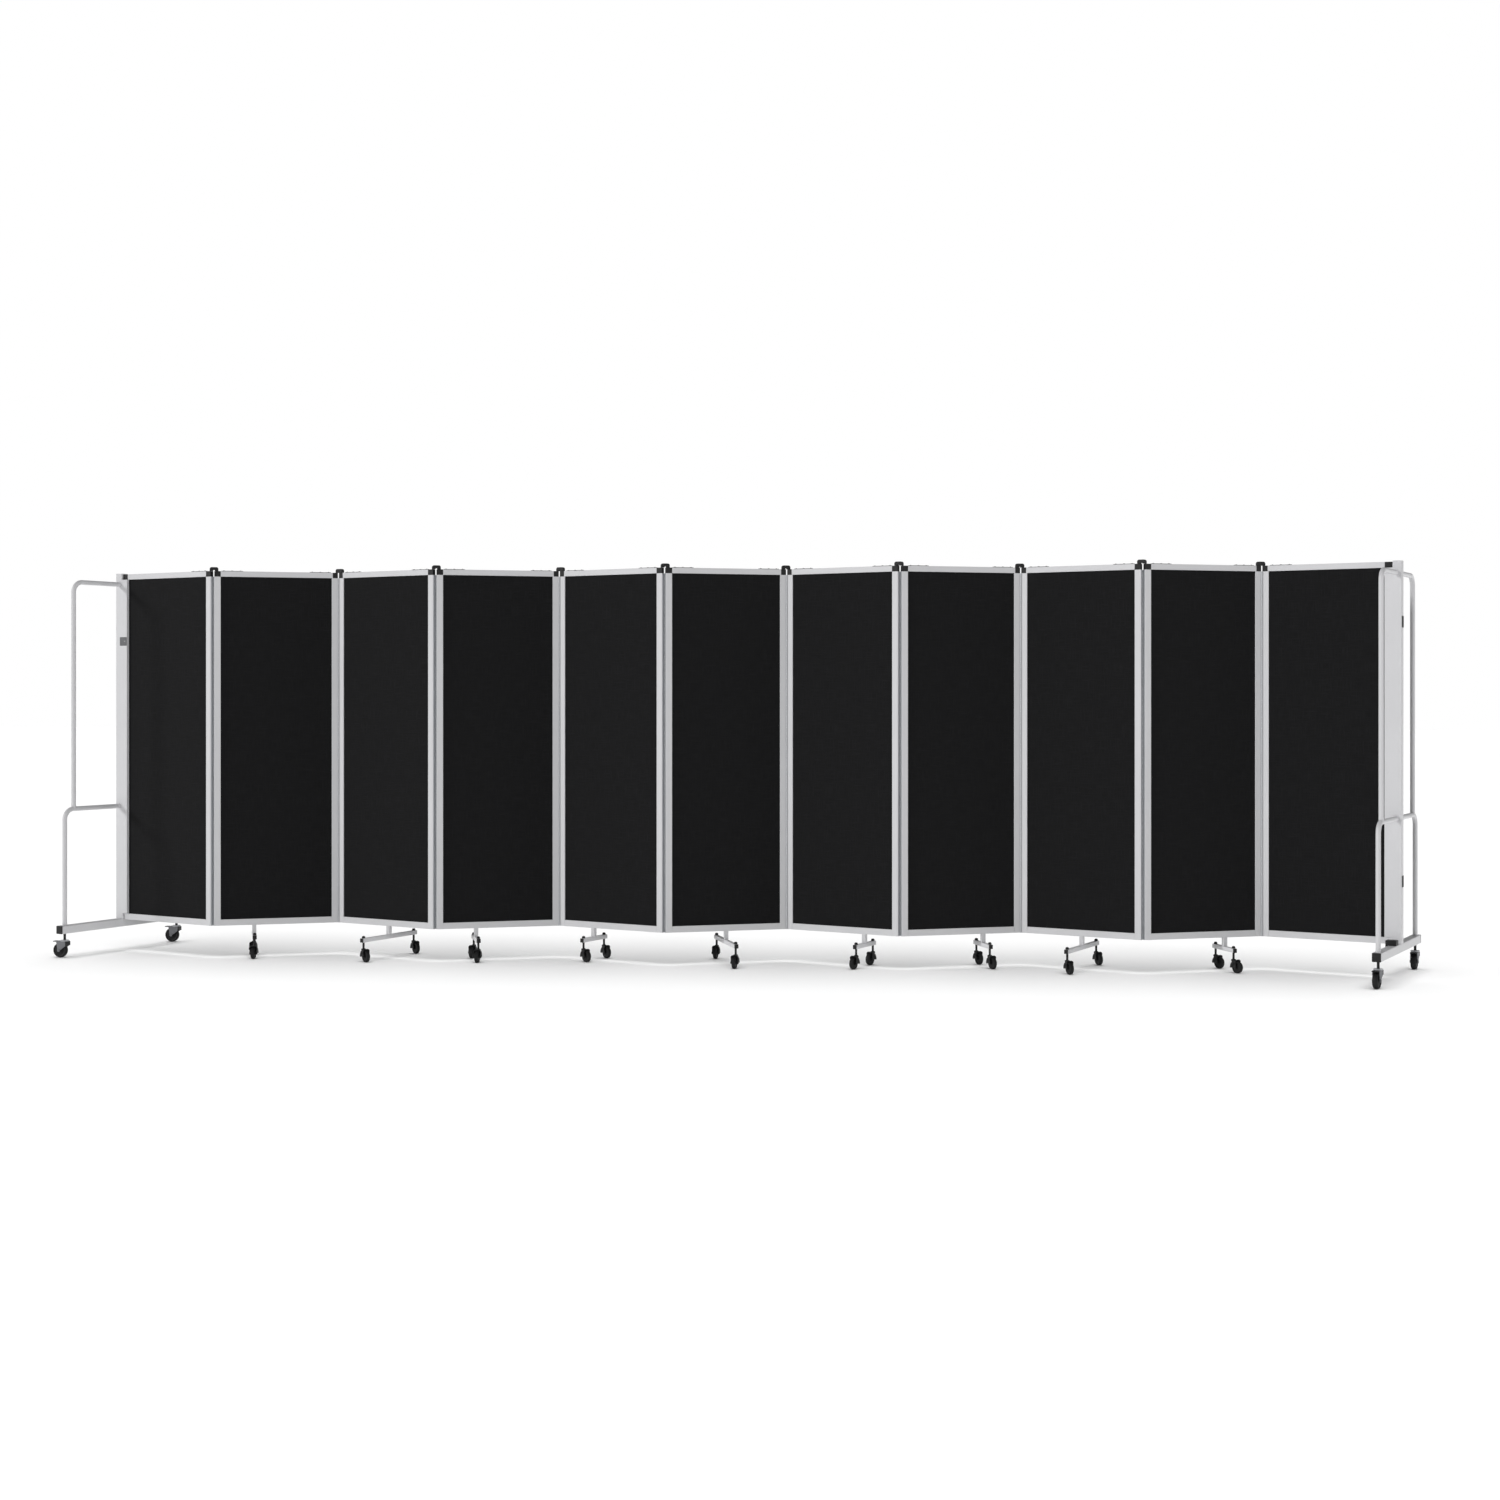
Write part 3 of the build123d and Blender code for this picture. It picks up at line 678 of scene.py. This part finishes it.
for number, headings in small_headings.items():
    for side, where, heading in ((-1, "front", headings[0]), (1, "rear", headings[1])):
        stand = caster_stand(panel_stand(number), foot_x(number), side * foot_span(number) / 2, heading)
        body = f"foot_caster_{number:02d}_{where}"
        wheel = bmesh.new()
        lathe(wheel, small_wheel_profile, small_axle, "Y", steps=36)
        finished(f"small_wheel_{number:02d}_{where}", wheel, stand, tread, body, corner=28)
        fork = bmesh.new()
        part_turned(fork, hood_section, small_axle, hood_turns)
        length_of(fork, leg_outline, leg_inner, leg_outer, "Y")
        length_of(fork, leg_outline, -leg_outer, -leg_inner, "Y")
        lathe(fork, pin_profile, small_axle, "Y", steps=16)
        lathe(fork, stem_profile, (0, 0, 0), "Z", steps=24)
        piece = finished(f"small_fork_{number:02d}_{where}", fork, stand, nylon, body,
                         eased=1.0)
        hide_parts(body)


# End posts. A folded channel, powder coated like the panels, laps the outer stile of each end panel and is
# screwed to it, from the foot bar to just above the top rail. Two black pads are stuck to its outer side, and
# the left post carries a small bare label plate.

post_low = half_wide + 0.3
post_wide = 45
post_half = 19
post_bottom = 152
post_top = frame_top + 4
lap_wide = 29
lap_bottom = 179
lap_inner = 9.8
top_step = 6
post_middle = post_low + post_wide / 2
post_high = post_low + post_wide
post_screw_first = 300
post_screw_pitch = 200
pad_places = (400, 1537)
pad_long = 50
pad_thick = 2.5
pad_half = 14
label_low = post_low - 28.5
label_high = post_low + 18.5
label_bottom = 1479
label_top = 1521
label_thick = 0.4
label_round = 3
left_stand = Matrix.Rotation(pi, 4, "Z") @ panel_stand(11)


def block_shell(cuts_x, cuts_y, cuts_z, filled):
    """One closed shell round the filled blocks of a grid, with faces only where metal meets air."""
    shell = bmesh.new()
    corners = {}

    def corner(*spot):
        if spot not in corners:
            corners[spot] = shell.verts.new((cuts_x[spot[0]], cuts_y[spot[1]], cuts_z[spot[2]]))
        return corners[spot]

    for block in filled:
        for axis in range(3):
            for ahead in (0, 1):
                beside = list(block)
                beside[axis] += 2 * ahead - 1
                if tuple(beside) in filled:
                    continue
                round_face = []
                for first, second in ((0, 0), (1, 0), (1, 1), (0, 1)):
                    step = [first, second]
                    step.insert(axis, ahead)
                    round_face.append(corner(*(place + more for place, more in zip(block, step))))
                shell.faces.new(round_face)
    bmesh.ops.recalc_face_normals(shell, faces=shell.faces)
    bmesh.ops.dissolve_limit(shell, angle_limit=0.01, verts=shell.verts, edges=shell.edges)
    return shell


# The post's body has a step at its top, beside the corner block. A flange before the stile and one behind it
# lap it from above the foot bar to the step.
post_blocks = {(2, deep, high) for deep in range(3) for high in range(3)}
post_blocks |= {(1, deep, high) for deep in range(3) for high in range(2)} | {(0, 0, 1), (0, 2, 1)}
end_stands = (("left", left_stand, "panel_01", 1), ("right", panel_stand(11), "panel_11", -1))

for end, stand, body, front in end_stands:
    post = block_shell((post_low - lap_wide, post_low, post_low + top_step, post_high),
                       (-post_half, -lap_inner, lap_inner, post_half),
                       (post_bottom, lap_bottom, stile_top, post_top), post_blocks)
    piece = finished(f"end_post_{end}", post, stand, coat, body, eased=1.5)
    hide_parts(f"end_frame_{end}")
    heads = grown(
        screws, Count=8, First=(post_low - lap_wide / 2, front * post_half, post_screw_first),
        Step=(0, 0, post_screw_pitch), Turn=(-front * pi / 2, 0, 0), Head_size=(3.6, 3.6, 0.6),
        Slot_size=(4.5, 0.9, 0.8), Material=coat)
    finished(f"post_screws_{end}", heads, stand, coat, body)
    pads = bmesh.new()
    pad = rectangle(post_high, post_high + pad_thick, -pad_half, pad_half)
    for low in pad_places:
        length_of(pads, pad, low, low + pad_long, "Z")
    finished(f"post_pads_{end}", pads, stand, nylon, body, eased=0.8)

bare_plate = bmesh.new()
label_outline = rounded(label_low, label_high, label_bottom, label_top, label_round)
length_of(bare_plate, label_outline, post_half, post_half + label_thick, "Y")
# Label vinyl is smooth and half dull, so an even grey with no pattern is what the eye sees.
vinyl = blank_material("Grey_vinyl_label", "#5B5C5E", 0.5)[0]
finished("post_label", bare_plate, left_stand, vinyl, "panel_01")


# End foot bars. Square tube, 38 mm, welded across the foot of the post, with its ends closed by black plugs.
# A black saddle block on the right end's bar, in front of the post, holds the folded row shut.

bar_half = 19
bar_bottom = 114
bar_top = bar_bottom + 2 * bar_half
stem_reach = 353.5
bar_past_stem = 34
end_reach = stem_reach + bar_past_stem
end_plug = 5
end_plug_round = 3
keeper_front = -105
keeper_rear = -65
keeper_inner = post_middle - 28
keeper_bottom = 146
keeper_top = 175.5
keeper_chamfer = 2
keeper_gap = 0.3

for end, stand, body, front in end_stands:
    tube = bmesh.new()
    square = rectangle(post_middle - bar_half, post_middle + bar_half, bar_bottom, bar_top)
    length_of(tube, square, end_plug - end_reach, end_reach - end_plug, "Y")
    finished(f"end_bar_{end}", tube, stand, coat, body, eased=2.5)
    plugs = bmesh.new()
    for side in (-1, 1):
        low, high = sorted((side * end_reach, side * (end_reach - end_plug)))
        square = rounded(post_middle - bar_half, post_middle + bar_half, bar_bottom, bar_top, end_plug_round)
        length_of(plugs, square, low, high, "Y")
    finished(f"end_bar_plugs_{end}", plugs, stand, nylon, body, eased=1.2)

keeper = bmesh.new()
bar_side = post_middle - bar_half - keeper_gap
keeper_outer = post_middle + bar_half
saddle = [(keeper_inner, keeper_bottom), (bar_side, keeper_bottom), (bar_side, bar_top),
          (keeper_outer, bar_top), (keeper_outer, keeper_top - keeper_chamfer),
          (keeper_outer - keeper_chamfer, keeper_top), (keeper_inner + keeper_chamfer, keeper_top),
          (keeper_inner, keeper_top - keeper_chamfer)]
length_of(keeper, saddle, keeper_front, keeper_rear, "Y")
finished("keeper_block", keeper, panel_stand(11), nylon, "panel_11", eased=1.0)


# Push hoops. Round steel tube, 22 mm, is bent to 50 mm and welded between the foot bar and the post. The
# lower hoop stands on the bar, and the upper one is coped on to the lower one's crosspiece, nearer the post.

hoop_radius = 11
hoop_bend = 50
lower_hoop = 700
upper_hoop = 1777
upper_set_in = 53
bend_steps = 12


def bent_tube(leg, foot, height):
    """The centre line up the leg, round the bend and in to the post, made a tube with closed ends."""
    side = 1 if leg > 0 else -1
    route = [(post_middle, leg, foot)]
    for step in range(bend_steps + 1):
        turn = radians(90) * step / bend_steps
        inward = side * hoop_bend * (1 - cos(turn))
        below = hoop_bend * (1 - sin(turn))
        route.append((post_middle, leg - inward, height - below))
    route.append((post_middle, side * post_half, height))
    curve = bpy.data.curves.new("route", "CURVE")
    curve.dimensions = "3D"
    curve.bevel_depth = hoop_radius
    curve.bevel_resolution = 7
    curve.use_fill_caps = True
    line = curve.splines.new("POLY")
    line.points.add(len(route) - 1)
    for point, spot in zip(line.points, route):
        point.co = (*spot, 1)
    carrier = bpy.data.objects.new("route", curve)
    mesh = bpy.data.meshes.new_from_object(carrier)
    bpy.data.objects.remove(carrier)
    return mesh


for end, stand, body, front in end_stands:
    for side, where in ((front, "front"), (-front, "rear")):
        lower = bent_tube(side * stem_reach, bar_top, lower_hoop)
        finished(f"lower_hoop_{end}_{where}", lower, stand, coat, body, corner=60)
        upper = bent_tube(side * (stem_reach - upper_set_in), lower_hoop, upper_hoop)
        finished(f"upper_hoop_{end}_{where}", upper, stand, coat, body, corner=60)


# End casters. A pressed steel fork with a zinc-plated swivel plate hangs from a threaded stem in the bar's
# end. The wheel is moulded with a dished side and a rounded tread, and a black pedal over it locks it.

wheel_radius = 35
wheel_half = 12
trail = 22
end_axle = (trail, 0, wheel_radius)
fork_inner = 13.5
fork_thick = 3
fork_outer = fork_inner + fork_thick
fork_ahead = -16
fork_behind = 36
fork_top = 78
cheek_outline = [(fork_ahead, fork_top - 20), (fork_ahead, fork_top), (fork_behind, fork_top),
                 (trail + 7, wheel_radius), (trail + 5, wheel_radius - 5), (trail, wheel_radius - 7),
                 (trail - 5, wheel_radius - 5), (trail - 7, wheel_radius)]
plate_top = fork_top + 5
plate_profile = [(0, fork_top), (19, fork_top), (21, fork_top + 1), (21, fork_top + 4), (19.5, plate_top),
                 (0, plate_top)]
axle_profile = [(0, -19), (7, -19), (7.5, -17.5), (7.5, -fork_outer), (4, -fork_outer), (4, fork_outer),
                (7.5, fork_outer), (7.5, 17.5), (7, 19), (0, 19)]
end_stem_profile = [(0, plate_top), (6, plate_top), (6, bar_bottom), (0, bar_bottom)]
pedal_outline = rounded(31, 57, -13, 13, 3)
pedal_thick = 3.5
guard_outline = rectangle(-19, -13, -17.5, 17.5)
guard_high = 20
wheel_side = [(4.1, -wheel_half), (8, -wheel_half), (9.5, -10), (24, -9), (27, -11), (30, -wheel_half),
              (33, -10), (34.6, -6), (wheel_radius, 0)]
# The profile comes back to its first ring, where the bore closes.
wheel_profile = wheel_side + [(radius, -reach) for radius, reach in wheel_side[-2::-1]] + wheel_side[:1]
end_headings = {("left", "front"): 172, ("left", "rear"): 178,
                ("right", "front"): -115, ("right", "rear"): -110}


def pressed_steel():
    """Grey chromated pressing: half dull metal, with drawing marks about 3 mm apart."""
    material, tree, shader = blank_material("Grey_pressed_steel", "#727376", 0.45, metallic=0.7)
    place = node(tree, "ShaderNodeTexCoord").outputs["Object"]
    marks = node(tree, "ShaderNodeTexNoise", {"Scale": 330, "Detail": 2}, {"Vector": place})
    dull = node(tree, "ShaderNodeMapRange", {"To Min": 0.38, "To Max": 0.58}, {"Value": marks.outputs["Fac"]})
    bump = node(tree, "ShaderNodeBump", {"Strength": 0.12, "Distance": 0.0002},
                {"Height": marks.outputs["Fac"]})
    feed(tree, shader, Roughness=dull.outputs["Result"], Normal=bump.outputs["Normal"])
    return material


def joined(first, second):
    """Two closed drawings welded into one mesh."""
    drafts = []
    for drawing in (first, second):
        bmesh.ops.recalc_face_normals(drawing, faces=drawing.faces)
        mesh = bpy.data.meshes.new("draft")
        drawing.to_mesh(mesh)
        drawing.free()
        drafts.append(bpy.data.objects.new("draft", mesh))
        bpy.context.scene.collection.objects.link(drafts[-1])
    weld = drafts[0].modifiers.new("Weld", "BOOLEAN")
    weld.operation = "UNION"
    weld.solver = "EXACT"
    weld.object = drafts[1]
    mesh = bpy.data.meshes.new_from_object(drafts[0].evaluated_get(bpy.context.evaluated_depsgraph_get()))
    for draft in drafts:
        bpy.data.objects.remove(draft)
    return mesh


pressing = pressed_steel()

for end, carrier, _, front in end_stands:
    for side, where in ((front, "front"), (-front, "rear")):
        stand = caster_stand(carrier, post_middle, side * stem_reach, end_headings[end, where])
        fork_body = f"end_fork_{end}_{where}"
        wheel_body = f"end_wheel_{end}_{where}"
        fork = bmesh.new()
        for out in (-1, 1):
            low, high = sorted((out * fork_inner, out * fork_outer))
            length_of(fork, cheek_outline, low, high, "Y")
        crown = bmesh.new()
        length_of(crown, rectangle(fork_ahead, fork_behind, -fork_outer, fork_outer),
                  fork_top - fork_thick, fork_top, "Z")
        piece = finished(f"fork_{end}_{where}", joined(fork, crown), stand, pressing,
                         fork_body, eased=1.0)
        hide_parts(fork_body)
        pedal = bmesh.new()
        length_of(pedal, pedal_outline, fork_top - pedal_thick, fork_top, "Z")
        length_of(pedal, guard_outline, fork_top - guard_high - 1, fork_top - 1, "Z")
        finished(f"brake_pedal_{end}_{where}", pedal, stand, nylon, fork_body, eased=1.0)
        swivel = bmesh.new()
        lathe(swivel, plate_profile, (0, 0, 0), "Z")
        finished(f"swivel_plate_{end}_{where}", swivel, stand, zinc, fork_body)
        axle = bmesh.new()
        lathe(axle, axle_profile, end_axle, "Y", steps=20)
        finished(f"wheel_axle_{end}_{where}", axle, stand, pressing, fork_body)
        stem = bmesh.new()
        lathe(stem, end_stem_profile, (0, 0, 0), "Z", steps=24)
        finished(f"caster_stem_{end}_{where}", stem, stand, nylon, fork_body)
        wheel = bmesh.new()
        lathe(wheel, wheel_profile, end_axle, "Y", steps=56)
        bmesh.ops.remove_doubles(wheel, verts=wheel.verts, dist=0.001)
        piece = finished(f"wheel_{end}_{where}", wheel, stand, tread, wheel_body, corner=28)
        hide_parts(wheel_body)


# Studio. A pale floor under soft light from overhead and the front left, with a weaker fill from the right,
# and the camera where the photograph was taken from: level, 1.25 m up, to the right of the row's middle.

floor_half = 60
floor_corners = rectangle(-floor_half, floor_half, -floor_half, floor_half)
floor_mesh = bpy.data.meshes.new("floor")
floor_mesh.from_pydata([(x, y, 0) for x, y in floor_corners], [], [(0, 1, 2, 3)])
floor_piece = bpy.data.objects.new("floor", floor_mesh)
bpy.context.scene.collection.objects.link(floor_piece)
floor_mesh.materials.append(blank_material("Pale_studio_floor", "#F4F4F4", 0.9)[0])

world = bpy.data.worlds.new("Studio")
bpy.context.scene.world = world
world.use_nodes = True
surround = world.node_tree.nodes["Background"]
surround.inputs["Color"].default_value = (1, 1, 1, 1)
# The camera sees plain white. The pieces are lit by a sky that dims from the horizon up to the zenith.
seen = node(world.node_tree, "ShaderNodeLightPath").outputs["Is Camera Ray"]
direction = node(world.node_tree, "ShaderNodeTexCoord").outputs["Generated"]
height = node(world.node_tree, "ShaderNodeSeparateXYZ", {}, {"Vector": direction}).outputs["Z"]
sky = node(world.node_tree, "ShaderNodeMapRange", {"To Min": 0.56, "To Max": 0.05}, {"Value": height})
glow = node(world.node_tree, "ShaderNodeMapRange", {"To Max": 1.0},
            {"Value": seen, "To Min": sky.outputs["Result"]})
world.node_tree.links.new(glow.outputs["Result"], surround.inputs["Strength"])


def soft_light(name, azimuth, elevation, spread, strength, on_floor):
    """A broad distant light from an azimuth left of the front. It lights either the floor or all but the
    floor, so that the floor stays pale right up to the row."""
    light = bpy.data.lights.new(name, "SUN")
    light.angle = radians(spread)
    light.energy = strength
    lamp = bpy.data.objects.new(name, light)
    around, up = radians(azimuth), radians(elevation)
    shine = Vector((sin(around) * cos(up), cos(around) * cos(up), -sin(up)))
    lamp.rotation_euler = shine.to_track_quat("-Z", "Y").to_euler()
    bpy.context.scene.collection.objects.link(lamp)
    group = bpy.data.collections.new(name)
    group.objects.link(floor_piece)
    group.collection_objects[0].light_linking.link_state = "INCLUDE" if on_floor else "EXCLUDE"
    lamp.light_linking.receiver_collection = group


soft_light("overhead_light", azimuth=0, elevation=88, spread=60, strength=3.1, on_floor=True)
soft_light("front_left_light", azimuth=62, elevation=24, spread=12, strength=1.58, on_floor=False)
soft_light("right_fill_light", azimuth=-70, elevation=20, spread=40, strength=0.62, on_floor=False)

# The line of sight meets the picture, 1500 pixels square, a little right of its middle and above it.
picture_side = 1500
focal_px = 2043.24
sight_x = 761.98
sight_y = 692.06
sensor_wide = 36
eye = (1.3797, -9.3589, 1.2540)
pan = 7.378
camera = bpy.data.cameras.new("photo_camera")
camera.sensor_width = sensor_wide
camera.lens = focal_px * sensor_wide / picture_side
camera.shift_x = (picture_side / 2 - sight_x) / picture_side
camera.shift_y = (sight_y - picture_side / 2) / picture_side
camera.clip_end = 200
viewer = bpy.data.objects.new("photo_camera", camera)
viewer.location = eye
viewer.rotation_euler = (pi / 2, 0, radians(pan))
bpy.context.scene.collection.objects.link(viewer)
bpy.context.scene.camera = viewer
bpy.context.scene.view_settings.view_transform = "Standard"
